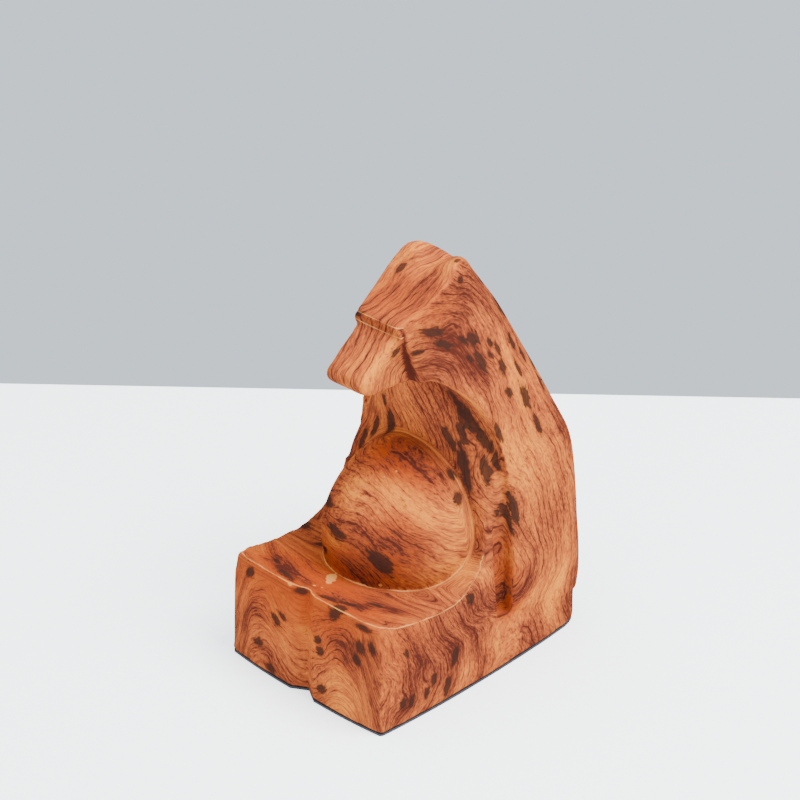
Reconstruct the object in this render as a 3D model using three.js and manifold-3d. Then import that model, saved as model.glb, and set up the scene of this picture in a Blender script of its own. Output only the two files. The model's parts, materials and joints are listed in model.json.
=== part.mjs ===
// Seated bear ornament, cast in resin, with a thin non-slip pad under its block.
// Units are millimetres. Z is up, the bear faces -Y and its left side is +X.
// While it is built, y runs from the front corners of the legs (0) to the back,
// and z from the underside of the pad (0) to the tips of the ears.

import * as THREE from 'three';
import { ParametricGeometry } from 'three/addons/geometries/ParametricGeometry.js';
import { mergeVertices } from 'three/addons/utils/BufferGeometryUtils.js';
import ManifoldModule from 'manifold-3d';

// Non-slip pad
const PAD_THICKNESS = 1.2;
const PAD_INSET = 0.3;
const PAD_GAP = 0.3;

// Block with the outstretched legs, seen from above
const BLOCK_WIDTH = 107;
const BLOCK_DEPTH = 143.3;
const FRONT_WIDTH = 101;
const FRONT_BOW = 2.2;
const FRONT_CORNER_RADIUS = 2.5;
const REAR_CORNER_RADIUS = 20;
const REAR_NARROWING = 1.5;
const WIDEST_FROM_FRONT = 70;
const LEG_GROOVE_WIDTH = 16;
const LEG_GROOVE_DEPTH = 4.8;

// Draft of the block: how far its walls lean in from the foot to the leg tops
const FRONT_CORNER_DRAFT = 2.2;
const SIDE_DRAFT = 4;
const FRONT_DRAFT = 1.6;

// Tops of the legs, seen from the side
const LEG_FRONT_HEIGHT = 58.8;
const LAP_HEIGHT = 50;
const LAP_RADIUS = 29;
const CHEST_FROM_FRONT = 73.6;

// Belly
const BELLY_WIDTH = 81;
const BELLY_LENGTH = 102;
const BELLY_TALL = 88;
const BELLY_CENTRE_Y = 76;
const BELLY_CENTRE_Z = 66.5;
const BELLY_TILT = 14;
const BELLY_SAG = 0.1;

// Chest between the arms: square and full width at the lap, narrow and round at
// the throat. Each table gives [share of the bear's height, value]. Half widths
// are shares of half the block's width, and fronts are shares of CHEST_FROM_FRONT.
const CHEST_HALF_WIDTH = [
  [0.0992, 0.9533], [0.248, 0.9271], [0.2976, 0.9159], [0.377, 0.8897], [0.4266, 0.8673],
  [0.4861, 0.8187], [0.5655, 0.7196], [0.6548, 0.5888], [0.6994, 0.514], [0.744, 0.4112],
  [0.7837, 0.3364],
];
const CHEST_FRONT = [
  [0.0992, 1], [0.4861, 1], [0.5506, 0.9851], [0.62, 0.9171], [0.6845, 0.8424], [0.7391, 0.7745],
  [0.7837, 0.7337],
];
const CHEST_SQUARENESS = [
  [0.0992, 60], [0.2976, 40], [0.377, 12], [0.4365, 6], [0.496, 3.4], [0.5655, 2.4], [0.744, 2],
];
const CHEST_OVERLAP = 22;
const CHEST_RINGS = 30;

// Arms, shoulders, neck and back, in tables of the same kind. The back line runs
// from 0, the rear of the ears, to 1, the rear of the block, and the cheeks' front
// is a share of BROW_FRONT.
const ARM_FRONT = 87.2;
const NECK_TALL = 50;
const FLANK_HALF_WIDTH = [
  [0.0694, 0.9907], [0.1389, 1.0093], [0.248, 1.0019], [0.3571, 0.972], [0.4663, 0.9271],
  [0.5655, 0.8505], [0.6548, 0.7664], [0.7341, 0.6654], [0.7937, 0.5794], [0.8829, 0.4336],
  [0.9425, 0.3701], [1.0119, 0.314],
];
const BACK_LINE = [
  [0.0694, 1.0158], [0.1389, 1.0609], [0.2976, 1.0271], [0.4861, 0.9932], [0.5258, 0.9594],
  [0.5804, 0.8578], [0.8085, 0.4515], [0.8681, 0.3296], [0.9325, 0.1354], [1.0119, -0.0903],
];
const CHEEK_FRONT = [
  [0.0694, 1.16], [0.7391, 1.116], [0.8532, 1.03], [0.8681, 1], [0.8829, 0.99], [1.0119, 1],
];
const CHEEK_FULLNESS = [
  [0.0694, 3.4], [0.1389, 3.4], [0.2976, 4.4], [0.4663, 5], [0.744, 5], [0.8185, 2.4],
  [0.8829, 1.1], [1.0119, 1],
];
const REAR_SQUARENESS = [
  [0.0694, 5], [0.496, 4.8], [0.6448, 3.8], [0.7937, 3], [1.0119, 2.6],
];
const SHOULDER_RUN = 12;
const FLANK_RINGS = 40;

// Lower edge of the haunches, which stand a little proud of the block
const HAUNCH_FRONT_HEIGHT = 29;
const HAUNCH_REAR_HEIGHT = 17;
const HAUNCH_REAR_FROM_FRONT = 145;

// Slanting flute between thigh and arm
const FLUTE_DEPTH = 6.5;
const FLUTE_FRONT = 78;
const FLUTE_FLOOR = 27.5;
const FLUTE_LEAN = 4;
const FLUTE_SKIN = 2;
const FLUTE_SHADE = 5;

// Head. Its heights are measured down from the tips of the ears.
const BEAR_HEIGHT = 201.6;
const HEAD_TALL = 51.6;
const BROW_BELOW_TIPS = 21.2;
const NAPE_BELOW_TIPS = 14.1;
const EAR_TALL = 5.6;
const EAR_SPACING = 25;
const EAR_FOOT_FROM_FRONT = 80.5;
const EAR_TIP_FROM_FRONT = 89;
const EAR_REAR_FROM_FRONT = 99;
const CROWN_VALLEY_DEPTH = 7;
const BROW_FRONT = 50;
const BROW_STEP = 5;
const HEAD_FRONT_WIDTH = 31;
const HEAD_EDGE_RADIUS = 5;
const HEAD_EDGE_DEPTH = 12;
const HEAD_WIDENING = 0.8;
const FOREHEAD_SLOPE = 31;
const EAR_HOLLOW_DEPTH = 3.2;
const EAR_HOLLOW_WIDTH = 5;
const EAR_HOLLOW_TALL = 8.5;
const EAR_HOLLOW_X = 20.9;
const EAR_HOLLOW_Y = 84.6;
const EAR_HOLLOW_BELOW_TIPS = 10;

// Muzzle
const MUZZLE_FRONT = 26.3;
const MUZZLE_NOSE_WIDTH = 25.4;
const MUZZLE_REAR_WIDTH = 25.6;
const MUZZLE_OVERLAP = 14;
const MUZZLE_WIDENING = 0.35;
const MUZZLE_EDGE_RADIUS = 4;
const NOSE_TALL = 10;
const NOSE_ROUNDING = 3.4;
const JAW_RISE = 1.2;
const JAW_LENGTH = 7;

const JAW_HEIGHT = BEAR_HEIGHT - HEAD_TALL;
const NOSE_HEIGHT = JAW_HEIGHT + NOSE_TALL;
const BROW_HEIGHT = BEAR_HEIGHT - BROW_BELOW_TIPS;
const NAPE_HEIGHT = BEAR_HEIGHT - NAPE_BELOW_TIPS;
const EAR_FOOT_HEIGHT = BEAR_HEIGHT - EAR_TALL;

const X_AXIS = new THREE.Vector3(1, 0, 0);
const Y_AXIS = new THREE.Vector3(0, 1, 0);
const Z_AXIS = new THREE.Vector3(0, 0, 1);
const CLEAR = 20;

const wasm = await ManifoldModule();
wasm.setup();

// Closed mesh to solid: shared corners are merged and flat slivers dropped.
function solid(geometry) {
  const bare = new THREE.BufferGeometry();
  bare.setAttribute('position', geometry.getAttribute('position'));
  if (geometry.index) bare.setIndex(geometry.index);
  const merged = mergeVertices(bare, 1e-4);
  const corners = merged.index.array;
  const kept = [];
  for (let i = 0; i < corners.length; i += 3) {
    const [a, b, c] = [corners[i], corners[i + 1], corners[i + 2]];
    if (a !== b && b !== c && c !== a) kept.push(a, b, c);
  }
  return new wasm.Manifold(new wasm.Mesh({
    numProp: 3,
    vertProperties: new Float32Array(merged.getAttribute('position').array),
    triVerts: new Uint32Array(kept),
  }));
}

// Solid back to a mesh geometry.
function geometryOf(manifold) {
  const mesh = manifold.getMesh();
  const geometry = new THREE.BufferGeometry();
  geometry.setAttribute('position', new THREE.Float32BufferAttribute(mesh.vertProperties, 3));
  geometry.setIndex(Array.from(mesh.triVerts));
  geometry.computeVertexNormals();
  return geometry;
}

// Moves every corner of a geometry by a function of its place.
function reshape(geometry, move) {
  const positions = geometry.getAttribute('position');
  const corner = new THREE.Vector3();
  for (let i = 0; i < positions.count; i += 1) {
    corner.fromBufferAttribute(positions, i);
    move(corner);
    positions.setXYZ(i, corner.x, corner.y, corner.z);
  }
  return geometry;
}

// Smooth value at the share z of the height, from a few [share, value] stations.
function along(stations, z) {
  const last = stations.length - 1;
  if (z <= stations[0][0]) return stations[0][1];
  if (z >= stations[last][0]) return stations[last][1];
  let i = 0;
  while (stations[i + 1][0] < z) i += 1;
  const [z0, v0] = stations[i];
  const [z1, v1] = stations[i + 1];
  const before = stations[Math.max(i - 1, 0)];
  const after = stations[Math.min(i + 2, last)];
  const slope0 = (v1 - before[1]) / (z1 - before[0]);
  const slope1 = (after[1] - v0) / (after[0] - z0);
  const t = (z - z0) / (z1 - z0);
  const span = z1 - z0;
  return v0 * (1 + 2 * t) * (1 - t) ** 2 + slope0 * span * t * (1 - t) ** 2
    + v1 * t * t * (3 - 2 * t) + slope1 * span * t * t * (t - 1);
}

// Body through closed rings, from the lowest to the highest; both ends are closed.
function loft(rings) {
  const around = rings[0].length;
  const centre = (ring) => ring.reduce((sum, p) => sum.add(p), new THREE.Vector3()).divideScalar(around);
  const ends = [centre(rings[0]), centre(rings[rings.length - 1])];
  const rows = rings.length + 1;
  const point = (u, v, target) => {
    const row = Math.round(v * rows);
    const column = Math.round(u * around) % around;
    if (row === 0) target.copy(ends[0]);
    else if (row === rows) target.copy(ends[1]);
    else target.copy(rings[row - 1][(column + around) % around]);
  };
  return solid(new ParametricGeometry(point, around, rows));
}

// Closed shape from its right-hand half, which starts and ends on the middle line.
function mirroredShape(half, divisions) {
  const right = half.getPoints(divisions);
  const left = right.slice(1, -1).reverse().map((point) => new THREE.Vector2(-point.x, point.y));
  return new THREE.Shape([...right, ...left]);
}

// Plate cut to a side view (y, z), as thick as asked across the body.
function sidePlate(shape, thickness, curveSegments = 12) {
  const geometry = new THREE.ExtrudeGeometry(shape, { depth: thickness, bevelEnabled: false, curveSegments });
  geometry.applyMatrix4(new THREE.Matrix4().makeBasis(Y_AXIS, Z_AXIS, X_AXIS));
  geometry.translate(-thickness / 2, 0, 0);
  return solid(geometry);
}

// Bar with a front view (x, z), running backwards from the place y.
function frontBar(shape, y, length) {
  const geometry = new THREE.ExtrudeGeometry(shape, { depth: length, bevelEnabled: false });
  geometry.applyMatrix4(new THREE.Matrix4().makeBasis(X_AXIS, Z_AXIS, Y_AXIS.clone().negate()));
  geometry.translate(0, y + length, 0);
  return geometry;
}

// Outline of the block from above; inset shrinks it for the pad.
function blockOutline(inset) {
  const front = FRONT_WIDTH / 2 - inset;
  const side = BLOCK_WIDTH / 2 - inset;
  const rear = BLOCK_DEPTH - inset;
  const rearSide = side - REAR_NARROWING;
  const bow = inset - FRONT_BOW;
  const half = new THREE.Path();
  half.moveTo(0, bow + LEG_GROOVE_DEPTH);
  half.lineTo(LEG_GROOVE_WIDTH / 2, bow);
  half.quadraticCurveTo(front * 0.6, bow, front - FRONT_CORNER_RADIUS, inset);
  half.quadraticCurveTo(front, inset, front, inset + FRONT_CORNER_RADIUS);
  half.quadraticCurveTo(side, WIDEST_FROM_FRONT * 0.45, side, WIDEST_FROM_FRONT);
  half.quadraticCurveTo(side, (WIDEST_FROM_FRONT + rear) / 2, rearSide, rear - REAR_CORNER_RADIUS);
  half.quadraticCurveTo(rearSide, rear, rearSide - REAR_CORNER_RADIUS, rear);
  half.lineTo(0, rear);
  return mirroredShape(half, 8);
}

function blockSolid() {
  const foot = PAD_THICKNESS + PAD_GAP;
  const top = LAP_HEIGHT + LAP_RADIUS;
  const geometry = new THREE.ExtrudeGeometry(blockOutline(0), {
    depth: top - foot, bevelEnabled: false, steps: 8,
  });
  geometry.translate(0, 0, foot);
  reshape(geometry, (corner) => {
    const rise = (corner.z / LEG_FRONT_HEIGHT) ** 2;
    const behind = THREE.MathUtils.smoothstep(corner.y, 0, WIDEST_FROM_FRONT * 0.7);
    const draft = THREE.MathUtils.lerp(FRONT_CORNER_DRAFT, SIDE_DRAFT, behind);
    const forward = Math.max(0, 1 - corner.y / WIDEST_FROM_FRONT);
    corner.x -= (corner.x / (BLOCK_WIDTH / 2)) * draft * rise;
    corner.y += forward * rise * FRONT_DRAFT;
  });
  return solid(geometry);
}

// Air above the legs and in front of the chest.
function lapSpace() {
  const arcCentreY = CHEST_FROM_FRONT - LAP_RADIUS;
  const arcCentreZ = LAP_HEIGHT + LAP_RADIUS;
  const shape = new THREE.Shape();
  shape.moveTo(-CLEAR, LEG_FRONT_HEIGHT + CLEAR * 0.175);
  shape.lineTo(0, LEG_FRONT_HEIGHT);
  shape.quadraticCurveTo(arcCentreY * 0.45, LAP_HEIGHT + LAP_RADIUS * 0.035, arcCentreY, LAP_HEIGHT);
  shape.absarc(arcCentreY, arcCentreZ, LAP_RADIUS, -Math.PI / 2, 0, false);
  shape.lineTo(CHEST_FROM_FRONT, arcCentreZ + CLEAR);
  shape.lineTo(-CLEAR, arcCentreZ + CLEAR);
  shape.closePath();
  return sidePlate(shape, BLOCK_WIDTH + CLEAR, 12);
}

function chestSolid() {
  const rings = [];
  const back = ARM_FRONT + CHEST_OVERLAP;
  const [lowest, highest] = [CHEST_FRONT[0][0], CHEST_FRONT[CHEST_FRONT.length - 1][0]];
  for (let step = 0; step <= CHEST_RINGS; step += 1) {
    const share = THREE.MathUtils.lerp(lowest, highest, step / CHEST_RINGS);
    const z = share * BEAR_HEIGHT;
    const half = along(CHEST_HALF_WIDTH, share) * BLOCK_WIDTH / 2;
    const front = along(CHEST_FRONT, share) * CHEST_FROM_FRONT;
    const power = 2 / along(CHEST_SQUARENESS, share);
    const ring = [];
    for (let i = 0; i < 48; i += 1) {
      const angle = (i / 48) * Math.PI * 2;
      const across = Math.sign(Math.sin(angle)) * Math.abs(Math.sin(angle)) ** power;
      const deep = Math.sign(-Math.cos(angle)) * Math.abs(Math.cos(angle)) ** power;
      const middle = (front + back) / 2;
      ring.push(new THREE.Vector3(half * across, middle + deep * (back - front) / 2, z));
    }
    rings.push(ring);
  }
  return loft(rings);
}

// Cutter for the flute: steep against the arm, running out forwards on the thigh.
function fluteSpace(side) {
  const outer = BLOCK_WIDTH / 2 + CLEAR / 2;
  const inner = BLOCK_WIDTH / 2 - FLUTE_SKIN - FLUTE_DEPTH;
  const floorFront = ARM_FRONT - FLUTE_SHADE;
  const shape = new THREE.Shape();
  shape.moveTo(inner, ARM_FRONT + CLEAR / 2);
  shape.lineTo(inner + FLUTE_SKIN / 2, floorFront);
  shape.quadraticCurveTo(inner + FLUTE_SKIN * 1.5, FLUTE_FRONT + FLUTE_SKIN, outer, FLUTE_FRONT - CLEAR / 2);
  shape.lineTo(outer, ARM_FRONT + CLEAR / 2);
  shape.closePath();
  const geometry = new THREE.ExtrudeGeometry(shape, {
    depth: BEAR_HEIGHT / 2, bevelEnabled: false, curveSegments: 6,
  });
  geometry.rotateX(THREE.MathUtils.degToRad(FLUTE_LEAN));
  geometry.translate(0, 0, FLUTE_FLOOR - Math.sin(THREE.MathUtils.degToRad(FLUTE_LEAN)) * floorFront);
  const cutter = solid(geometry);
  return side > 0 ? cutter : cutter.mirror([1, 0, 0]);
}

function flankSolid() {
  const rings = [];
  const headHalf = HEAD_FRONT_WIDTH / 2;
  const [lowest, highest] = [BACK_LINE[0][0], BACK_LINE[BACK_LINE.length - 1][0]];
  for (let step = 0; step <= FLANK_RINGS; step += 1) {
    const share = THREE.MathUtils.lerp(lowest, highest, step / FLANK_RINGS);
    const z = share * BEAR_HEIGHT;
    const half = along(FLANK_HALF_WIDTH, share) * BLOCK_WIDTH / 2;
    const back = THREE.MathUtils.lerp(EAR_REAR_FROM_FRONT, BLOCK_DEPTH, along(BACK_LINE, share));
    const fullness = along(CHEEK_FULLNESS, share);
    const front = along(CHEEK_FRONT, share) * BROW_FRONT;
    const power = 2 / along(REAR_SQUARENESS, share);
    const shoulder = back - SHOULDER_RUN - half / 2;
    const right = [];
    for (let i = 0; i <= 14; i += 1) {
      const t = i / 14;
      const x = headHalf + (half - headHalf) * (1 - (1 - t) ** fullness);
      right.push(new THREE.Vector3(x, THREE.MathUtils.lerp(front, shoulder, t), z));
    }
    for (let i = 1; i <= 14; i += 1) {
      const angle = (i / 14) * Math.PI / 2;
      const across = Math.max(Math.cos(angle), 0) ** power;
      const deep = Math.sin(angle) ** power;
      right.push(new THREE.Vector3(half * across, THREE.MathUtils.lerp(shoulder, back, deep), z));
    }
    const left = right.slice(0, -1).reverse().map((point) => new THREE.Vector3(-point.x, point.y, z));
    rings.push([...right, ...left]);
  }
  return loft(rings);
}

// Side view of arms, jaw, forehead, ears and nape.
function figureProfile() {
  const shape = new THREE.Shape();
  const jawRear = BROW_FRONT + JAW_LENGTH;
  const neckRun = ARM_FRONT - jawRear;
  const foreheadRun = EAR_FOOT_FROM_FRONT - BROW_FRONT;
  const foreheadRise = EAR_FOOT_HEIGHT - BROW_HEIGHT;
  const earFrontRun = EAR_TIP_FROM_FRONT - EAR_FOOT_FROM_FRONT;
  const earRearRun = EAR_REAR_FROM_FRONT - EAR_TIP_FROM_FRONT;
  const earTop = BEAR_HEIGHT - EAR_TALL / 7;
  const behind = BLOCK_DEPTH + CLEAR;
  const haunchSlope = (HAUNCH_FRONT_HEIGHT - HAUNCH_REAR_HEIGHT) / (HAUNCH_REAR_FROM_FRONT - ARM_FRONT);
  shape.moveTo(ARM_FRONT, HAUNCH_FRONT_HEIGHT);
  shape.lineTo(ARM_FRONT, JAW_HEIGHT - NECK_TALL);
  shape.bezierCurveTo(
    ARM_FRONT, JAW_HEIGHT - NECK_TALL * 0.44,
    jawRear + neckRun * 0.63, JAW_HEIGHT - NECK_TALL * 0.06,
    jawRear + neckRun * 0.13, JAW_HEIGHT + NECK_TALL * 0.06,
  );
  shape.lineTo(BROW_FRONT + JAW_LENGTH * 0.86, JAW_HEIGHT + JAW_RISE * 0.4);
  shape.lineTo(BROW_FRONT - JAW_LENGTH * 0.43, JAW_HEIGHT);
  shape.lineTo(BROW_FRONT - JAW_LENGTH * 0.43, BROW_HEIGHT - BROW_STEP * 0.28);
  shape.lineTo(BROW_FRONT, BROW_HEIGHT);
  shape.quadraticCurveTo(
    BROW_FRONT + foreheadRun * 0.39, BROW_HEIGHT + foreheadRise * 0.27,
    BROW_FRONT + foreheadRun * 0.69, BROW_HEIGHT + foreheadRise * 0.67,
  );
  shape.lineTo(EAR_FOOT_FROM_FRONT, EAR_FOOT_HEIGHT);
  shape.quadraticCurveTo(EAR_FOOT_FROM_FRONT + earFrontRun * 0.35, earTop, EAR_TIP_FROM_FRONT, BEAR_HEIGHT);
  shape.quadraticCurveTo(
    EAR_TIP_FROM_FRONT + earRearRun / 2, earTop,
    EAR_REAR_FROM_FRONT, EAR_FOOT_HEIGHT - EAR_TALL * 0.09,
  );
  shape.lineTo(EAR_REAR_FROM_FRONT + earRearRun / 2, NAPE_HEIGHT);
  shape.lineTo(behind, NAPE_HEIGHT);
  shape.lineTo(behind, HAUNCH_FRONT_HEIGHT - haunchSlope * (behind - ARM_FRONT));
  shape.closePath();
  return shape;
}

// Ridged roof with rounded edges, used to round the forehead and the muzzle.
// It starts at the height z over the place y and rises backwards at the slope.
function roof({ half, edge, slope, y, z, flare, widening }) {
  const drop = HEAD_TALL + CLEAR / 2;
  const reach = BROW_FRONT + CLEAR / 2;
  const crest = edge / 10;
  const section = new THREE.Path();
  section.moveTo(0, -drop);
  section.lineTo(half + drop * flare, -drop);
  section.lineTo(half, -edge);
  section.quadraticCurveTo(half - crest, 0, half - edge * 1.6, crest);
  section.lineTo(0, crest);
  const geometry = frontBar(mirroredShape(section, 6), -reach, reach * 2);
  reshape(geometry, (corner) => {
    corner.x *= 1 + (corner.y / BEAR_HEIGHT) * widening * 2;
  });
  geometry.rotateX(slope);
  geometry.translate(0, y, z);
  return solid(geometry);
}

function headRoof() {
  return roof({
    half: HEAD_FRONT_WIDTH / 2,
    edge: HEAD_EDGE_RADIUS,
    slope: THREE.MathUtils.degToRad(FOREHEAD_SLOPE),
    y: BROW_FRONT,
    z: BROW_HEIGHT + HEAD_EDGE_RADIUS * 0.04,
    flare: 1,
    widening: HEAD_WIDENING,
  });
}

function muzzleSolid() {
  const rear = BROW_FRONT + MUZZLE_OVERLAP;
  const topRear = BROW_HEIGHT - BROW_STEP;
  const chin = JAW_HEIGHT + JAW_RISE;
  const side = new THREE.Shape();
  side.moveTo(MUZZLE_FRONT + NOSE_ROUNDING, NOSE_HEIGHT + NOSE_ROUNDING * 0.47);
  side.lineTo(BROW_FRONT, topRear);
  side.lineTo(rear, topRear);
  side.lineTo(rear, JAW_HEIGHT);
  side.lineTo(MUZZLE_FRONT + NOSE_ROUNDING * 2.65, chin);
  side.quadraticCurveTo(
    MUZZLE_FRONT + NOSE_ROUNDING * 0.74, chin + NOSE_ROUNDING * 0.12,
    MUZZLE_FRONT + NOSE_ROUNDING * 0.12, chin + NOSE_TALL * 0.46,
  );
  side.quadraticCurveTo(
    MUZZLE_FRONT - NOSE_ROUNDING * 0.15, NOSE_HEIGHT - NOSE_ROUNDING * 0.12,
    MUZZLE_FRONT + NOSE_ROUNDING, NOSE_HEIGHT + NOSE_ROUNDING * 0.47,
  );

  const noseHalf = MUZZLE_NOSE_WIDTH / 2;
  const rearHalf = MUZZLE_REAR_WIDTH / 2;
  const length = rear - MUZZLE_FRONT;
  const top = new THREE.Path();
  top.moveTo(0, -MUZZLE_EDGE_RADIUS * 0.15);
  top.lineTo(noseHalf - MUZZLE_EDGE_RADIUS, 0);
  top.quadraticCurveTo(
    noseHalf - MUZZLE_EDGE_RADIUS * 0.125, MUZZLE_EDGE_RADIUS * 0.15,
    noseHalf, MUZZLE_EDGE_RADIUS * 1.25,
  );
  top.quadraticCurveTo((noseHalf + rearHalf) / 2, length / 2, rearHalf, length);
  top.lineTo(0, length);
  const plan = new THREE.ExtrudeGeometry(mirroredShape(top, 6), { depth: HEAD_TALL, bevelEnabled: false });
  plan.translate(0, MUZZLE_FRONT, JAW_HEIGHT - CLEAR / 2);

  const noseTop = MUZZLE_FRONT + NOSE_ROUNDING * 0.3;
  const rounding = roof({
    half: noseHalf,
    edge: MUZZLE_EDGE_RADIUS,
    slope: Math.atan2(topRear - NOSE_HEIGHT, BROW_FRONT - noseTop),
    y: noseTop,
    z: NOSE_HEIGHT - MUZZLE_EDGE_RADIUS * 0.025,
    flare: 0.25,
    widening: MUZZLE_WIDENING,
  });
  return sidePlate(side, BLOCK_WIDTH, 6).intersect(solid(plan)).intersect(rounding);
}

function bellySolid() {
  const geometry = new THREE.SphereGeometry(0.5, 48, 32);
  reshape(geometry, (corner) => {
    corner.x *= 1 - BELLY_SAG * corner.z * 2;
  });
  geometry.scale(BELLY_WIDTH, BELLY_LENGTH, BELLY_TALL);
  geometry.rotateX(THREE.MathUtils.degToRad(BELLY_TILT));
  geometry.translate(0, BELLY_CENTRE_Y, BELLY_CENTRE_Z);
  return solid(geometry);
}

// V-shaped valley over the crown, between the ears.
function crownValley() {
  const section = new THREE.Shape();
  section.moveTo(0, BEAR_HEIGHT - CROWN_VALLEY_DEPTH);
  section.lineTo(EAR_SPACING, BEAR_HEIGHT + CROWN_VALLEY_DEPTH);
  section.lineTo(-EAR_SPACING, BEAR_HEIGHT + CROWN_VALLEY_DEPTH);
  section.closePath();
  return solid(frontBar(section, BROW_FRONT, BLOCK_DEPTH));
}

// Small hollow at the foot of each ear.
function earHollow(side) {
  const geometry = new THREE.SphereGeometry(0.5, 16, 12);
  geometry.scale(EAR_HOLLOW_DEPTH, EAR_HOLLOW_WIDTH, EAR_HOLLOW_TALL);
  geometry.rotateX(-THREE.MathUtils.degToRad(FOREHEAD_SLOPE));
  geometry.translate(side * EAR_HOLLOW_X, EAR_HOLLOW_Y, BEAR_HEIGHT - EAR_HOLLOW_BELOW_TIPS);
  return solid(geometry);
}

function bearSolid() {
  const bodyBox = new THREE.BoxGeometry(BLOCK_WIDTH * 2, BLOCK_DEPTH * 2, BROW_HEIGHT);
  bodyBox.translate(0, BLOCK_DEPTH, BROW_HEIGHT / 2 - HEAD_EDGE_DEPTH);
  const figure = flankSolid().intersect(sidePlate(figureProfile(), BLOCK_WIDTH + CLEAR, 14));
  const head = figure.intersect(headRoof().add(solid(bodyBox))).subtract(crownValley())
    .subtract(earHollow(1)).subtract(earHollow(-1));
  const lap = blockSolid().subtract(lapSpace()).add(chestSolid());
  const front = lap.subtract(fluteSpace(1)).subtract(fluteSpace(-1));
  return head.add(front).add(muzzleSolid()).add(bellySolid());
}

const resin = new THREE.MeshStandardMaterial({ color: 0xb5653a, roughness: 0.42, metalness: 0 });
const padRubber = new THREE.MeshStandardMaterial({ color: 0x1a1d26, roughness: 0.9, metalness: 0 });

const bear = new THREE.Mesh(geometryOf(bearSolid()), resin);
bear.name = 'bear_casting';

const padSlab = new THREE.ExtrudeGeometry(blockOutline(PAD_INSET), { depth: PAD_THICKNESS, bevelEnabled: false });
const pad = new THREE.Mesh(padSlab, padRubber);
pad.name = 'base_pad';

// The origin is at the middle of the underside.
const sculpture = new THREE.Group();
sculpture.add(bear, pad);
const box = new THREE.Box3().setFromObject(sculpture);
sculpture.position.set(0, -(box.min.y + box.max.y) / 2, 0);

export default sculpture;
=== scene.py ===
import json
import math
import random

import bmesh
import bpy
import numpy as np
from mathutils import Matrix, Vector
from mathutils.kdtree import KDTree

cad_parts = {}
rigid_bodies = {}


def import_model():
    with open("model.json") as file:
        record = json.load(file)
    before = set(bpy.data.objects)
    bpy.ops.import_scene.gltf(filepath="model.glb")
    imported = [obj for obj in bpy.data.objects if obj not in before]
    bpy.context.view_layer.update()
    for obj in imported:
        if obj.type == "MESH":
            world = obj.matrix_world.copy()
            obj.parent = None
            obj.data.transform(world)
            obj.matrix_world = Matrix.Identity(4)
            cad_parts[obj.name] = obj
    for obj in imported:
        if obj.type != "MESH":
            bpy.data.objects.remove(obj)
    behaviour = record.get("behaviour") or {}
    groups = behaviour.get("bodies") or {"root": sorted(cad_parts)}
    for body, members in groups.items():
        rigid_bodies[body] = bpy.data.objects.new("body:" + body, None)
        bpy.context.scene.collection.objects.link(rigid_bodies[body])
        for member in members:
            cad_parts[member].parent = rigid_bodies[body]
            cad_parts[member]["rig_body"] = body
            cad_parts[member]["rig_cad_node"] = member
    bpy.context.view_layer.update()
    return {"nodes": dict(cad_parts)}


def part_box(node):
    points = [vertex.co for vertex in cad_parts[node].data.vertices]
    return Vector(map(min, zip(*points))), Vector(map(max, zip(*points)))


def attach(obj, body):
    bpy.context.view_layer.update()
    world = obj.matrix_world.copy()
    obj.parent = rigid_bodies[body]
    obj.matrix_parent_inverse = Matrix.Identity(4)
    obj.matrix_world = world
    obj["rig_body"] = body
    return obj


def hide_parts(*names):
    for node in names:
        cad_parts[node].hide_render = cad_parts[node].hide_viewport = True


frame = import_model()

# Bear
# One hollow casting in resin: the seated bear, its outstretched legs and the
# square block are a single moulding. Its planes meet in arrises that came out
# of the mould a little rounded, softest along the forehead and the muzzle.
bear_node = frame["nodes"]["bear_casting"]
bear = bear_node.copy()
bear.data = bear_node.data.copy()
bpy.context.scene.collection.objects.link(bear)
bear.name = bear.data.name = "bear"
bear.parent = None
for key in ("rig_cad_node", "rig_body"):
    del bear[key]

WELD_DISTANCE = 0.00002
bpy.ops.object.select_all(action="DESELECT")
bpy.context.view_layer.objects.active = bear
bear.select_set(True)
bpy.ops.object.mode_set(mode="EDIT")
bpy.ops.mesh.select_all(action="SELECT")
bpy.ops.mesh.remove_doubles(threshold=WELD_DISTANCE)
bpy.ops.object.mode_set(mode="OBJECT")

# The arrises are read from the casting before it is remeshed: points along
# each one, and whether it stands out or is hollow.
ARRIS_ANGLE = math.radians(27)
ARRIS_STEP = 0.0006
SHORTEST_EDGE = 1e-6
plain = bmesh.new()
plain.from_mesh(bear.data)
plain.normal_update()
arrises = []
for edge in plain.edges:
    if len(edge.link_faces) != 2 or edge.calc_length() < SHORTEST_EDGE:
        continue
    if edge.calc_face_angle(0.0) < ARRIS_ANGLE:
        continue
    start, end = (corner.co for corner in edge.verts)
    steps = max(1, round((end - start).length / ARRIS_STEP))
    for i in range(steps + 1):
        arrises.append((start.lerp(end, i / steps), edge.is_convex))
plain.free()


def search_tree(places):
    """A tree that finds the nearest of these places."""
    tree = KDTree(len(places))
    for i, place in enumerate(places):
        tree.insert(place, i)
    tree.balance()
    return tree


SKIN_VOXEL = 0.00109
remesh = bear.modifiers.new("skin", "REMESH")
remesh.mode = "VOXEL"
remesh.voxel_size = SKIN_VOXEL
remesh.adaptivity = 0
bpy.ops.object.modifier_apply(modifier=remesh.name)


def read_skin():
    """Positions and normals of all the skin's points."""
    mesh = bear.data
    places, outward = np.empty((2, len(mesh.vertices) * 3))
    mesh.vertices.foreach_get("co", places)
    mesh.vertex_normals.foreach_get("vector", outward)
    return places.reshape(-1, 3), outward.reshape(-1, 3)


def fade(values, start, end):
    """0 up to the start and 1 from the end on, straight between; either may be the higher."""
    return np.clip((values - start) / (end - start), 0, 1)


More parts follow.
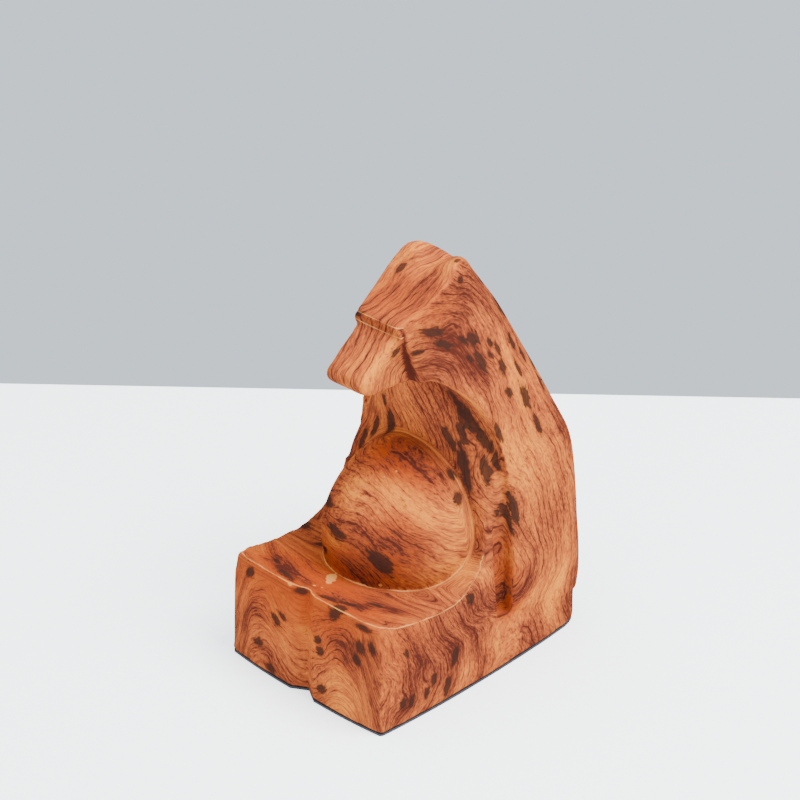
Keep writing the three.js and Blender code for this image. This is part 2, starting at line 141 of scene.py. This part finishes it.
# How much the skin may round off at each point, from 0 to 1: the facets only
# between the arrises, and the head, the nose and the toes all over, but for the
# head's hollow arrises and the step of its brow.
ARRIS_KEPT, FACETS_GONE = 0.0012, 0.0060
HEAD_FADE = (0.147, 0.153)
HOLLOW_REACH, HOLLOW_SHARE = 0.003, 0.15
BROW_FRONT, BROW_BACK, BROW_BOTTOM, BROW_SHARE = -0.0265, -0.0185, 0.1715, 0.05
NOSE_FADE, NOSE_BOTTOM = (-0.035, -0.041), 0.14
TOE_CORNER = (0.0500, 0.0720, 0.0585)
TOE_FADE = (0.0114, 0.0054)
points, _ = read_skin()
arris_tree = search_tree([point for point, _ in arrises])
nearest = [arris_tree.find(Vector(point)) for point in points]
to_arris = np.array([distance for _, _, distance in nearest])
hollow_arris = np.array([not arrises[i][1] for _, i, _ in nearest])
on_facets = fade(to_arris, ARRIS_KEPT, FACETS_GONE)
on_head = fade(points[:, 2], *HEAD_FADE)
on_head[hollow_arris & (to_arris < HOLLOW_REACH)] *= HOLLOW_SHARE
at_brow = (points[:, 1] < BROW_BACK) & (points[:, 1] > BROW_FRONT) & (points[:, 2] > BROW_BOTTOM)
on_head[at_brow] *= BROW_SHARE
on_nose = fade(points[:, 1], *NOSE_FADE) * (points[:, 2] > NOSE_BOTTOM)
on_toes = fade(np.linalg.norm(np.abs(points) - TOE_CORNER, axis=1), *TOE_FADE)


def relax(name, weights, iterations):
    """Smooths the skin where the weights, from 0 to 1 in tenths, allow it."""
    group = bear.vertex_groups.new(name=name)
    for level in range(1, 11):
        chosen = np.nonzero(np.round(weights * 10) == level)[0]
        group.add(chosen.tolist(), level / 10, "REPLACE")
    smooth = bear.modifiers.new(name, "SMOOTH")
    smooth.factor = 0.5
    smooth.iterations = iterations
    smooth.vertex_group = group.name
    bpy.ops.object.modifier_apply(modifier=name)


FACET_ROUNDING = 36
MOULD_ROUNDING = 2
HEAD_ROUNDING = 12
NOSE_ROUNDING = 20
TOE_ROUNDING = 70
relax("facets", on_facets, FACET_ROUNDING)
relax("mould", np.ones(len(points)), MOULD_ROUNDING)
relax("head", on_head, HEAD_ROUNDING)
relax("nose", on_nose, NOSE_ROUNDING)
relax("toes", on_toes, TOE_ROUNDING)
bear.vertex_groups.clear()
bpy.ops.object.shade_smooth()

# A shallow groove sets the muzzle off from the cheeks, from the ends of the
# brow down to the jaw: heights in millimetres, and where it runs at each.
GROOVE_Z = [148.0, 152.5, 157.0, 161.5, 166.0, 171.0, 176.0, 179.0]
GROOVE_Y = [-14.0, -16.0, -17.0, -18.0, -19.0, -20.2, -20.5, -20.6]
GROOVE_HALF = 0.8
GROOVE_DEPTH = 0.0009
GROOVE_INNER_END = (0.0105, 0.0125)
GROOVE_LOWER_END = (0.1490, 0.1510)
GROOVE_UPPER_END = (0.1805, 0.1785)
points, normals = read_skin()
from_groove = points[:, 1] * 1000 - np.interp(points[:, 2] * 1000, GROOVE_Z, GROOVE_Y)
groove = np.exp(-((from_groove / GROOVE_HALF) ** 2)) * fade(np.abs(points[:, 0]), *GROOVE_INNER_END)
groove *= fade(points[:, 2], *GROOVE_LOWER_END) * fade(points[:, 2], *GROOVE_UPPER_END)
points -= normals * (groove * GROOVE_DEPTH)[:, None]
low, high = (np.array(corner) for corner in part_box("bear_casting"))
points = np.clip(points, low, high)
bear.data.vertices.foreach_set("co", points.ravel())
bear.data.update()

# Burl print
# The bear's finish is a film printed with burl wood, laid over the casting and
# sealed with a satin clear coat. It is worn pale along some edges, and a few
# chips go down to the buff resin.
points, normals = read_skin()
skin = points * 1000
x, y, z = skin.T


def ramp(values, start, end):
    """0 up to the start and 1 from the end on, smooth between; either may be the higher."""
    share = fade(values, start, end)
    return share * share * (3 - 2 * share)


def mixed(first, second, share):
    """The first where the share is 0 and the second where it is 1."""
    return first * (1 - share) + second * share


# Two smooth fields count millimetres across the grain. On the flanks the grain
# sweeps in long arcs from the cheek to the haunch, and on the side of the block
# it stands nearly upright.
CHEEK, HAUNCH = np.array([-12.0, 150.0]), np.array([10.0, 52.0])


def side_grain(p):
    """Distance across the grain on the flanks: from a line between cheek and haunch."""
    along = HAUNCH - CHEEK
    at = p[:, 1:] - CHEEK
    share = np.clip(at @ along / (along @ along), 0, 1)
    arcs = np.hypot(*(at - share[:, None] * along).T)
    block = np.hypot(p[:, 1] - HAUNCH[0], 15) * 0.95 + p[:, 2] * 0.25
    return mixed(arcs, block, ramp(p[:, 2], 40, 20))


BELLY_HALF = (40.5, 51, 44)
BELLY_CENTRE = (4.1, 66.5)
BELLY_TILT = math.radians(14)
BELLY_SAG = 0.1


def belly_reach(p):
    """1 on the ball of the belly, less inside it and more outside."""
    back, up = p[:, 1] - BELLY_CENTRE[0], p[:, 2] - BELLY_CENTRE[1]
    depth = back * math.cos(BELLY_TILT) + up * math.sin(BELLY_TILT)
    height = up * math.cos(BELLY_TILT) - back * math.sin(BELLY_TILT)
    width = p[:, 0] / (1 - BELLY_SAG * height / BELLY_HALF[2])
    return np.linalg.norm(np.stack((width, depth, height), axis=1) / BELLY_HALF, axis=1)


# Elsewhere it runs up over the head, fans out from the throat over the chest and
# the back, turns round a point low in front of the belly, bends round the belly
# over the leg tops and waves across the leg fronts.
THROAT_Z = 190
WHIRL_X, WHIRL_Z = -8, 44
BEND_Y = 4
BACK_FACE_Y = 8
CHIN_Z = 149


def front_grain(p):
    """Distance across the grain on the faces that look forwards, upwards and back."""
    x, y, z = p.T
    fan = x * 62 / np.clip(THROAT_Z - z, 26, 120)
    whirl = np.hypot(x - WHIRL_X, (z - WHIRL_Z) * 1.1 + (y + 30) * 0.15)
    head = x * 0.9 + 0.22 * z + 4 * np.sin((z - 150) / 9)
    waves = 4.5 * np.sin(np.abs(x) / 5.5)
    legs = z * 0.9 + waves + 44 * ramp(np.abs(x), 34, 54) - 9 * ramp(np.abs(x), 0, 12)
    tops = np.hypot(x, y - BEND_Y) * 1.5
    on_belly = ramp(y, 8, -4) * ramp(belly_reach(p), 1.05, 1.005)
    on_tops = ramp(y, 0, -10) * ramp(z, 49, 52) * ramp(z, 78, 68) * (1 - on_belly)
    on_legs = ramp(y, -60, -66) * ramp(z, 57, 53)
    on_head = np.where(y > BACK_FACE_Y, ramp(z, 128, 172), z > CHIN_Z)
    across = mixed(fan, head, on_head)
    across = mixed(across, whirl, on_belly)
    across = mixed(across, tops, on_tops)
    return mixed(across, legs, on_legs)


# The dark eyes of the burl, in millimetres: x, y, z, half the length along the
# grain and half the width.
EYES = {
    "cheek and neck": [
        (20, -6, 175, 5.7, 1.7), (23, -3, 169, 3.6, 1.7), (28, 12, 167, 3.3, 2.4), (26, 7, 168, 2.4, 1.0),
        (30, 21, 163, 1.9, 1.0), (31, 25, 159, 3.3, 1.0), (32, 13, 158, 4.3, 2.1), (30, 7, 160, 1.9, 1.1),
        (32, 19, 158, 1.9, 1.1), (35, 25, 150, 3.3, 1.4), (30, 36, 158, 3.8, 1.4), (33, 41, 150, 2.9, 1.2),
        (36, 34, 147, 3.3, 0.9),
    ],
    "shoulder and arm": [
        (39, 25, 139, 2.7, 1.4), (41, 34, 133, 5.2, 1.7), (44, 39, 118, 4.8, 1.2), (37, 49, 134, 4.3, 1.0),
        (51, 17, 84, 8.6, 1.7), (48, 15, 80, 7.6, 1.4), (43, 14, 124, 3.8, 1.2),
    ],
    "muzzle, brow and ears": [
        (13, -24, 168, 2.4, 1.0), (18, -15, 167, 2.4, 1.0), (-13, -22, 179, 1.4, 1.9),
        (19, 12, 194, 1.4, 1.4), (14, 16, 201, 1.4, 0.9), (-10, 4, 193, 2.9, 1.4),
    ],
    "chest": [
        (-14, 1, 113, 7.6, 1.9), (-26, 3, 104, 6.7, 1.5), (-35, 3, 94, 5.7, 1.4), (-15, -3, 125, 3.8, 1.4),
        (32, 8, 125, 14.3, 2.2), (31, 4, 104, 10.5, 2.2), (39, 9, 104, 6.2, 1.9), (23, 2, 117, 5.7, 1.9),
        (41, 14, 106, 2.9, 1.4), (32, -1, 91, 2.4, 1.9), (25, 1, 99, 2.4, 1.4), (29, 4, 122, 4.8, 1.4),
    ],
    "belly": [(-6, -44, 75, 5.2, 2.4), (19, -40, 67, 6.2, 2.9), (-15, -43, 60, 2.9, 1.2)],
    "leg tops": [
        (-16, -67, 57, 5.2, 1.9), (20, -63, 55, 3.8, 1.4), (12, -67, 57, 4.4, 1.5), (28, -52, 52, 3.4, 1.1),
        (-30, -60, 55, 3.0, 1.2),
    ],
    "leg fronts": [
        (-36, -72, 52, 2.9, 1.9), (-3, -70, 55, 2.9, 1.4), (-30, -73, 16, 2.9, 1.7),
        (-17, -73, 34, 2.9, 1.9), (-13, -73, 39, 2.4, 1.4), (-21, -74, 5, 2.4, 1.9), (22, -72, 57, 4.8, 2.4),
        (37, -72, 44, 2.9, 1.9), (44, -71, 46, 3.3, 1.4), (11, -73, 36, 1.9, 1.9), (12, -74, 31, 1.9, 1.9),
        (35, -72, 37, 2.4, 1.9), (14, -74, 10, 2.4, 1.7), (39, -71, 55, 3.3, 1.4),
    ],
    "side of the block": [
        (53, -25, 23, 4.3, 1.7), (53, -30, 9, 4.3, 1.9), (51, -55, 39, 2.4, 1.0), (52, -39, 17, 2.9, 1.4),
        (52, -44, 11, 2.4, 1.4), (51, -58, 12, 2.4, 1.4), (52, -53, 11, 2.9, 1.4), (51, -13, 49, 2.9, 1.9),
    ],
}
eyes = [eye for region in EYES.values() for eye in region]

# The far flank and the back have eyes of their own, scattered at random.
SCATTERED_EYES = 46
scatter = random.Random(7)
on_far_flank = (x < -20) & (normals[:, 0] < -0.5)
hidden = np.nonzero(on_far_flank | (normals[:, 1] > 0.6))[0].tolist()
for i in scatter.sample(hidden, SCATTERED_EYES):
    long = scatter.uniform(2.0, 7.0)
    eyes.append((*skin[i], long, long * scatter.uniform(0.28, 0.5)))

# Which field counts: the flanks' where the surface faces sideways, but not in
# the arched opening between the arms nor on the belly.
OPENING_FRONT, OPENING_BACK, OPENING_HALF_X = 1.5, 15, 50
OPENING_BOTTOM, OPENING_TOP = 60, 152
ARCH_Y, ARCH_Z, ARCH_HALF, ARCH_RISE = -15, 98, 30.5, 55
arch = ((y - ARCH_Y) / ARCH_HALF) ** 2 + (np.maximum(z - ARCH_Z, 0) / ARCH_RISE) ** 2
between_arms = (arch < 1) | ((y > OPENING_FRONT) & (y < OPENING_BACK) & (z < ARCH_Z))
between_arms &= (z > OPENING_BOTTOM) & (z < OPENING_TOP) & (np.abs(x) < OPENING_HALF_X)
sideways = ramp(np.abs(normals[:, 0]), 0.42, 0.72)
sideways[between_arms] = 0
sideways *= 1 - ramp(y, -6, -10) * ramp(z, 62, 66) * ramp(z, 140, 130)
sideways *= np.where((y < 12) & (z > 49), ramp(belly_reach(skin), 1.02, 1.08), 1)

# Each eye lies along its line of grain, and the grain flows round it, because
# both fields swell there.
SWELL = 1.4
skin_tree = search_tree(skin)
side_field = side_grain(skin)
front_field = front_grain(skin)
darkness = np.zeros(len(skin))
for *middle, long, wide in eyes:
    _, at, _ = skin_tree.find(middle)
    centre, normal = skin[at], normals[at]
    field = side_grain if sideways[at] > 0.5 else front_grain
    here = field(centre[None])[0]
    slope = np.array([field(centre[None] + step)[0] - here for step in np.eye(3) * 0.5])
    line = np.cross(normal, slope)
    line /= np.linalg.norm(line) + 1e-9
    offset = skin - centre
    near = np.nonzero(np.abs(offset).max(1) < 4 * long + 6)[0]
    offset = offset[near]
    along, aside, above = offset @ line, offset @ np.cross(normal, line), offset @ normal
    spot_size = (along / (long * 1.15)) ** 2 + (aside / (wide * 1.15)) ** 2 + (above / 6) ** 2
    swirl_size = (along / (long * 1.4 + 1.5)) ** 2 + (aside / (wide * 1.8 + 2)) ** 2 + (above / 8) ** 2
    darkness[near] = np.maximum(darkness[near], np.exp(-spot_size * 0.7))
    swirl = np.exp(-swirl_size * 0.7)
    side_field[near] += (wide + SWELL) * swirl
    front_field[near] += (wide + SWELL) * swirl

# Places where the colour is lighter (above 0) or darker, and where it is redder:
# x, y, z, reach and amount. Partly the print's own tone, and partly painted
# light and shade: painted shade, darker and redder, in the flute and on the
# hollow tops of the legs, and the side of the block painted darker towards the
# front and lighter towards the back.
LIGHTER = [
    (16, -26, 94, 12, 0.34), (-6, -32, 93, 10, 0.26), (30, -20, 86, 7, 0.2), (38, -13, 74, 8, 0.1),
    (33, -18, 60, 9, 0.14), (54, 48, 34, 19, 0.34), (0, -74, 10, 20, -0.08), (42, -7, 58, 9, 0.28),
    (40, 20, 118, 16, 0.16), (36, 2, 142, 10, 0.2), (26, -6, 150, 7, 0.08), (46, 30, 92, 22, 0.22),
    (9, -36, 163, 13, 0.36), (14, -12, 184, 8, 0.16), (25, 1, 163, 17, -0.42), (12, 14, 199, 7, 0.2),
    (-6, 10, 197, 9, 0.12), (12, -44, 150, 8, -0.08), (48, -30, 30, 8, 0.14), (-8, -44, 68, 9, 0.2),
    (52, -20, 10, 14, 0.1), (53, 44, 22, 14, 0.2), (22, -36, 74, 11, -0.32), (33, -26, 69, 8, -0.14),
    (22, -12, 103, 11, -0.16), (4, -15, 107, 9, -0.26), (8, -42, 76, 9, -0.14), (0, -38, 64, 12, -0.1),
    (-20, -38, 74, 10, -0.14), (-28, -26, 84, 12, -0.1), (20, -60, 54, 15, -0.24),
    (-20, -60, 54, 14, -0.18), (51, -45, 30, 14, -0.16), (53, -24, 24, 12, -0.16),
    (40, -72, 50, 10, -0.08), (22, 4, 178, 12, -0.08), (-12, -16, 182, 10, -0.1), (50, 14, 58, 11, 0.2),
    (0, 6, 124, 16, 0.18), (0, -74, 28, 34, 0.2), (50, 12, 34, 8, -0.05), (52, -10, 26, 22, -0.12),
    (26, -60, 54, 4.5, -0.42), (14, -65, 56, 4, -0.34), (-22, -63, 56, 5, -0.34), (36, -50, 52, 4.5, -0.3),
    (8, -56, 54, 4, -0.22), (-34, -58, 55, 5, -0.26), (13, -36, 156, 7, -0.12), (8, 62, 100, 40, 0.06),
]
REDDER = [
    (0, -60, 54, 26, 0.75), (28, -60, 54, 24, 0.75), (-30, -60, 54, 24, 0.7), (4, -14, 106, 11, 0.8),
    (-10, -14, 105, 12, 0.5), (50, 14, 34, 8, 1.0), (49, 13, 50, 8, 0.7), (18, -2, 184, 14, 0.35),
    (-4, -10, 186, 16, 0.45), (24, -34, 74, 14, 0.7), (20, -12, 104, 12, 0.6), (46, 12, 64, 7, 0.5),
    (-36, 0, 80, 22, 0.4),
]
# Painted shade: the block is painted darker towards the bottom, where less light falls.
BLOCK_PAINTED_SHADE = 0.10
# Painted shade down the groove between muzzle and cheek: darker and redder there.
GROOVE_PAINTED_SHADE, GROOVE_SHADE_REDDER = 0.6, 0.3
# How much the painted highlight bands lighten the print.
BAND_HIGHLIGHT = 0.2


def patches(places):
    """The sum of soft round patches, each strongest in its middle."""
    total = np.zeros(len(skin))
    for *middle, reach, amount in places:
        distance = np.linalg.norm(skin - middle, axis=1)
        total += amount * np.exp(-((distance / reach) ** 2))
    return total


# Painted shade is taken off here: towards the bottom of the block and along the cheek groove.
tone_and_painted_light = patches(LIGHTER) - BLOCK_PAINTED_SHADE * ramp(z, 56, 42) - GROOVE_PAINTED_SHADE * groove
# The cheek groove is also painted redder, as part of its painted shade.
red_tone_and_painted_shade = np.clip(patches(REDDER) + GROOVE_SHADE_REDDER * groove, 0, 1)
# Painted highlight: soft pale bands run along the rounded upper edges of the forehead and the muzzle, where
# they turn up towards the light.
edge_turn = np.abs(normals[:, 0])
highlight_band = ramp(edge_turn, 0.12, 0.34) * ramp(edge_turn, 0.82, 0.62) * ramp(normals[:, 2], 0.1, 0.35)
tone_and_painted_light += BAND_HIGHLIGHT * highlight_band * ramp(z, 154, 160) * ramp(y, 12, 5) * ramp(x, -2, 6)

# The pale rubbed lines run just below the tops of the legs, just off the belly
# and across the step of the brow. These say how far below and how far off each
# point is, and where the brow is.
LEG_TOP_FROM_FRONT = [-20, 0, 5, 10, 15, 20, 25, 30, 35, 40, 44.6]
LEG_TOP_Z = [62.3, 58.8, 56.98, 55.42, 54.07, 52.9, 51.93, 51.18, 50.61, 50.22, 50]
THIGH_Y, THIGH_Z, THIGH_RADIUS = -27.3, 79, 29
FRONT_Y, LEG_TOPS_END_Y = -71.9, -1
BROW_FRONT_Y, BROW_BACK_Y, BROW_HALF_X = -25, -19, 15
NO_LINE = 9
thigh = THIGH_Z - np.sqrt(np.maximum(THIGH_RADIUS ** 2 - (y - THIGH_Y) ** 2, 0))
leg_top = np.where(y > THIGH_Y, thigh, np.interp(y - FRONT_Y, LEG_TOP_FROM_FRONT, LEG_TOP_Z))
below_top = np.where(y < LEG_TOPS_END_Y, leg_top - z, NO_LINE * np.sign(leg_top - z))
off_belly = (belly_reach(skin) - 1) * BELLY_HALF[2]
on_brow = (y < BROW_BACK_Y) & (y > BROW_FRONT_Y) & (np.abs(x) < BROW_HALF_X)

for name, values in {
    "side_grain": side_field,
    "front_grain": front_field,
    "sideways": sideways,
    "eyes": darkness,
    "light": tone_and_painted_light,
    "red": red_tone_and_painted_shade,
    "below_top": below_top,
    "off_belly": off_belly,
    "brow": on_brow,
}.items():
    bear.data.attributes.new(name, "FLOAT", "POINT").data.foreach_set("value", values.astype(np.float32))


class Sock:
    """A socket in a node tree, so that shader maths reads as plain expressions."""

    def __init__(self, tree, socket):
        self.tree, self.socket = tree, socket

    def node(self, kind, settings=None, inputs=None, out=0):
        made = self.tree.nodes.new(kind)
        for key, value in (settings or {}).items():
            if key == "stops":
                stops = made.color_ramp.elements
                while len(stops) < len(value):
                    stops.new(1)
                for stop, (position, colour) in zip(stops, value):
                    stop.position, stop.color = position, colour
            else:
                setattr(made, key, value)
        for key, value in (inputs or {}).items():
            if isinstance(value, Sock):
                self.tree.links.new(value.socket, made.inputs[key])
            else:
                made.inputs[key].default_value = value
        return Sock(self.tree, made.outputs[out])

    def maths(self, operation, *values):
        return self.node("ShaderNodeMath", {"operation": operation}, dict(enumerate(values)))

    def __add__(self, other):
        return self.maths("ADD", self, other)

    def __sub__(self, other):
        return self.maths("SUBTRACT", self, other)

    def __mul__(self, other):
        return self.maths("MULTIPLY", self, other)

    def __rsub__(self, other):
        return self.maths("SUBTRACT", other, self)

    def __abs__(self):
        return self.maths("ABSOLUTE", self)

    __radd__, __rmul__ = __add__, __mul__

    def least(self, other):
        return self.maths("MINIMUM", self, other)

    def step(self, low, high):
        """0 below low and 1 above high, smooth between, and the other way round if high is less."""
        smooth = {"interpolation_type": "SMOOTHSTEP"}
        ends = {"From Min": min(low, high), "From Max": max(low, high)}
        rise = self.node("ShaderNodeMapRange", smooth, {"Value": self, **ends})
        return rise if high > low else 1 - rise

    def mix(self, first, second):
        """Colour between two others, by this factor."""
        inputs = {"Factor": self, 6: first, 7: second}
        return self.node("ShaderNodeMix", {"data_type": "RGBA"}, inputs, out=2)

    def noise(self, scale, detail, roughness=0.5):
        """Noise read at this place, 0.5 on average."""
        inputs = {"Vector": self, "Scale": scale, "Detail": detail, "Roughness": roughness}
        return self.node("ShaderNodeTexNoise", {}, inputs)

    def feed(self, shader, name):
        self.tree.links.new(self.socket, shader.inputs[name])


def new_material(name):
    """A new material and its shader."""
    made = bpy.data.materials.new(name)
    made.use_nodes = True
    return made, made.node_tree.nodes["Principled BSDF"]


def place_in(material):
    """The place of each point of the surface, in metres."""
    tree = material.node_tree
    return Sock(tree, tree.nodes.new("ShaderNodeTexCoord").outputs["Object"])


burl, shader = new_material("burl_print")
place = place_in(burl)
place_x, place_y, place_z = (
    place.node("ShaderNodeSeparateXYZ", {}, {"Vector": place}, out=i) for i in range(3)
)
wander = place.noise(26, 1.5) - 0.5
shiver = place.noise(120, 2.0) - 0.5


def attribute(name):
    return place.node("ShaderNodeAttribute", {"attribute_name": name}, out="Fac")


def stretched(across, along_a, along_b, fine, long, detail, roughness=0.5):
    """Noise drawn out along the grain: fine counts per millimetre across, long per metre along."""
    inputs = {0: across * fine, 1: along_a * long, 2: along_b * long}
    return place.node("ShaderNodeCombineXYZ", {}, inputs).noise(1.0, detail, roughness)


def wood_grain(field, along_a, along_b, seed):
    """Tone, streaks and fibres of the wood, from a field that counts millimetres across the grain."""
    across = field + wander * 18 + shiver * 1.8 + seed
    cloud = stretched(across, along_a, along_b, 0.085, 22, 2.0)
    streak = stretched(across, along_a, along_b, 0.90, 130, 3.0, 0.6)
    fibre = stretched(across, along_a, along_b, 2.0, 420, 2.0, 0.65)
    rings = across * 0.27 + (cloud - 0.5) * 2.6
    ring = rings.maths("PINGPONG", rings, 0.5)
    tone = (cloud - 0.5) * 1.05 + (streak - 0.5) * 0.85 + (fibre - 0.5) * 0.95 + 0.49
    line = ring.step(0.075, 0.0) * cloud.step(0.62, 0.40) * 0.30 + ring.step(0.22, 0.0) * 0.10
    return tone - line, streak, fibre


FRONT_SEED = 31.7
side_tone, side_streak, side_fibre = wood_grain(attribute("side_grain"), place_y, place_z, 0.0)
front_tone, front_streak, front_fibre = wood_grain(attribute("front_grain"), place_z, place_x, FRONT_SEED)
sideways_mask = attribute("sideways")


def blend(front, side):
    return front + (side - front) * sideways_mask


DEEP = (0.055, 0.0130, 0.0085, 1)
RED_BROWN = (0.165, 0.0365, 0.0160, 1)
ORANGE = (0.332, 0.0780, 0.0190, 1)
HONEY = (0.545, 0.1700, 0.0205, 1)
RUSSET = (0.245, 0.0300, 0.0040, 1)
CHARCOAL = (0.026, 0.0120, 0.0090, 1)
CREAM = (0.600, 0.2750, 0.0750, 1)
CHIP = (0.430, 0.1700, 0.0400, 1)
fibre = blend(front_fibre, side_fibre)
# The "light" attribute adds the print's tone together with painted light: painted shade low on the block,
# down the cheek groove, in the flute and on the leg tops, and the painted highlight bands.
tone = blend(front_tone, side_tone) + attribute("light") * 0.9 + (place.noise(34, 2.0) - 0.5) * 0.45
stops = [(0.10, DEEP), (0.34, RED_BROWN), (0.58, ORANGE), (0.90, HONEY)]
wood = tone.node("ShaderNodeValToRGB", {"stops": stops}, {"Fac": tone})
# Redder where the print is redder, and redder again as painted shade in the flute, on the leg tops and down
# the cheek groove.
wood = (attribute("red") * tone.step(0.20, 0.46) * 0.86).mix(wood, RUSSET)

# Short dark pores run through all of it, and the eyes have ragged edges drawn
# out along the grain, in a darker halo.
pores = fibre.step(0.42, 0.30) * 0.40
wood = pores.mix(wood, DEEP)
ragged = attribute("eyes") + (blend(front_streak, side_streak) - 0.5) * 1.5
ragged = ragged + (place.noise(380, 2.0) - 0.5) * 0.7 + (fibre - 0.5) * 0.35
halo = ragged.step(0.10, 0.46) * 0.50
wood = halo.mix(wood, DEEP)
eye = ragged.step(0.40, 0.52) * (fibre.step(0.25, 0.75) * 0.35 + 0.65)
wood = eye.mix(wood, CHARCOAL)

# Pale lines where the print is rubbed through, broken along their length. The
# belly's line grows thinner upwards.
LINE_BELOW_TOP, LINE_OFF_BELLY = 0.50, 0.55
BROW_LINES = (179.9, 175.6)
line_width = 0.15 + (place.noise(90, 3.0) - 0.5) * 0.75
high_up = (place_z * 1000).step(58, 76) * 0.2
to_belly_line = abs(attribute("off_belly") - LINE_OFF_BELLY) + high_up
to_line = abs(attribute("below_top") - LINE_BELOW_TOP).least(to_belly_line)
for height in BROW_LINES:
    to_brow_line = abs(place_z * 1000 - height) + (1 - attribute("brow")) * NO_LINE
    to_line = to_line.least(to_brow_line)
rubbed = (line_width - to_line).step(-0.10, 0.14)
wood = (rubbed * 0.58).mix(wood, CREAM)

# A few chips that show the bare buff resin: x, y, z and radius in millimetres.
CHIPS = [
    (-4.4, -48.4, 52.2, 2.7), (-2.9, -51.0, 52.6, 2.4), (-1.2, -53.8, 53.1, 1.8), (-1.5, -62.9, 55.5, 0.9),
    (1.7, -60.9, 54.9, 0.6), (-8, -72.5, 58.5, 1.6), (18.4, -39.6, 54, 1.0), (6, -24, 101, 0.5),
    (9, -19, 103, 0.6),
]
for *middle, radius in CHIPS:
    ends = {0: place, 1: [value / 1000 for value in middle]}
    away = place.node("ShaderNodeVectorMath", {"operation": "DISTANCE"}, ends, out="Value")
    ragged_edge = (place.noise(330, 1.0) - 0.5) * radius * 1.1
    bare = (away * 1000 + ragged_edge).step(radius + 0.1, radius - 0.25)
    wood = (bare * 0.9).mix(wood, CHIP)

wood.feed(shader, "Base Color")
gloss = place.noise(60, 2.0) * 0.14 + 0.36
gloss.feed(shader, "Roughness")
relief = ragged * 0.2 + fibre * 0.25
bump = relief.node("ShaderNodeBump", {}, {"Strength": 0.10, "Distance": 0.0002, "Height": relief})
bump.feed(shader, "Normal")
shader.inputs["Specular IOR Level"].default_value = 0.0

bear.data.materials.clear()
bear.data.materials.append(burl)
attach(bear, "root")
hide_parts("bear_casting")

# Base pad
# A thin sheet of dark foam rubber, cut to the outline of the block and glued
# under it. Only its edge shows, as a dark line round the foot.
FOAM_DARK = (0.010, 0.012, 0.020, 1)
FOAM_LIGHT = (0.026, 0.029, 0.042, 1)
pad = frame["nodes"]["base_pad"]
foam, shader = new_material("pad_foam")
cells = place_in(foam).noise(1500, 2.0)
foam_colour = cells.step(0.35, 0.7).mix(FOAM_DARK, FOAM_LIGHT)
foam_colour.feed(shader, "Base Color")
foam_roughness = cells * 0.15 + 0.78
foam_roughness.feed(shader, "Roughness")
foam_bump = cells.node("ShaderNodeBump", {}, {"Strength": 0.3, "Distance": 0.0002, "Height": cells})
foam_bump.feed(shader, "Normal")
pad.data.materials.clear()
pad.data.materials.append(foam)

# Camera, floor and lights
# The camera stands at the photograph's distance and angle. The pale floor ends
# a little behind the bear, nearly square to the view. A soft key light comes
# from the right and above, and weaker ones from overhead and in front.
PITCH, YAW = math.radians(29.437), math.radians(44.11)
DISTANCE = 1.26586
MIDDLE = Vector((0, -0.0119, 0.09))
AIM_RIGHT, AIM_UP = 0.00319, 0.03869
LENS, SENSOR = 121.5, 36
towards = Vector((math.sin(YAW), -math.cos(YAW), 0))
back = towards * math.cos(PITCH) + Vector((0, 0, math.sin(PITCH)))
right = Vector((math.cos(YAW), math.sin(YAW), 0))
target = MIDDLE + right * AIM_RIGHT + back.cross(right) * AIM_UP
bpy.ops.object.camera_add(location=target + back * DISTANCE)
camera = bpy.context.object
camera.name = "camera"
camera.data.sensor_width = SENSOR
camera.data.lens = LENS
camera.rotation_euler = (-back).to_track_quat("-Z", "Y").to_euler()
bpy.context.scene.camera = camera

FLOOR_SIZE = 3.0
FLOOR_REAR = 0.2387
FLOOR_TURN = math.radians(-2.2)
FLOOR_COLOUR = (0.90, 0.94, 0.95, 1)
FLOOR_GLOW = (0.96, 1.0, 1.0, 1)
bpy.ops.object.select_all(action="DESELECT")
bpy.ops.mesh.primitive_plane_add(
    size=FLOOR_SIZE,
    location=towards * (FLOOR_SIZE / 2 - FLOOR_REAR),
    rotation=(0, 0, YAW + FLOOR_TURN),
)
floor = bpy.context.object
floor.name = "floor"
paper, shader = new_material("pale_floor")
shader.inputs["Base Color"].default_value = FLOOR_COLOUR
shader.inputs["Roughness"].default_value = 0.6
shader.inputs["Emission Color"].default_value = FLOOR_GLOW
shader.inputs["Emission Strength"].default_value = 1.2
floor.data.materials.append(paper)

SKY = (0.89, 1.0, 1.11, 1)
world = bpy.data.worlds.new("studio")
bpy.context.scene.world = world
world.use_nodes = True
sky = world.node_tree.nodes["Background"]
sky.inputs["Color"].default_value = SKY
sky.inputs["Strength"].default_value = 1.0

LIGHT_AIM = Vector((0, 0, 0.09))
for name, at, size, power in (
    ("key", (0.65, 0.2, 1.45), 0.8, 62),
    ("top", (-0.3, -0.2, 1.5), 1.2, 20),
    ("front", (0.2, -1.5, 0.9), 1.0, 8),
):
    bpy.ops.object.light_add(type="AREA", location=at)
    lamp = bpy.context.object
    lamp.name = name
    lamp.data.size = size
    lamp.data.energy = power
    lamp.rotation_euler = (LIGHT_AIM - Vector(at)).to_track_quat("-Z", "Y").to_euler()
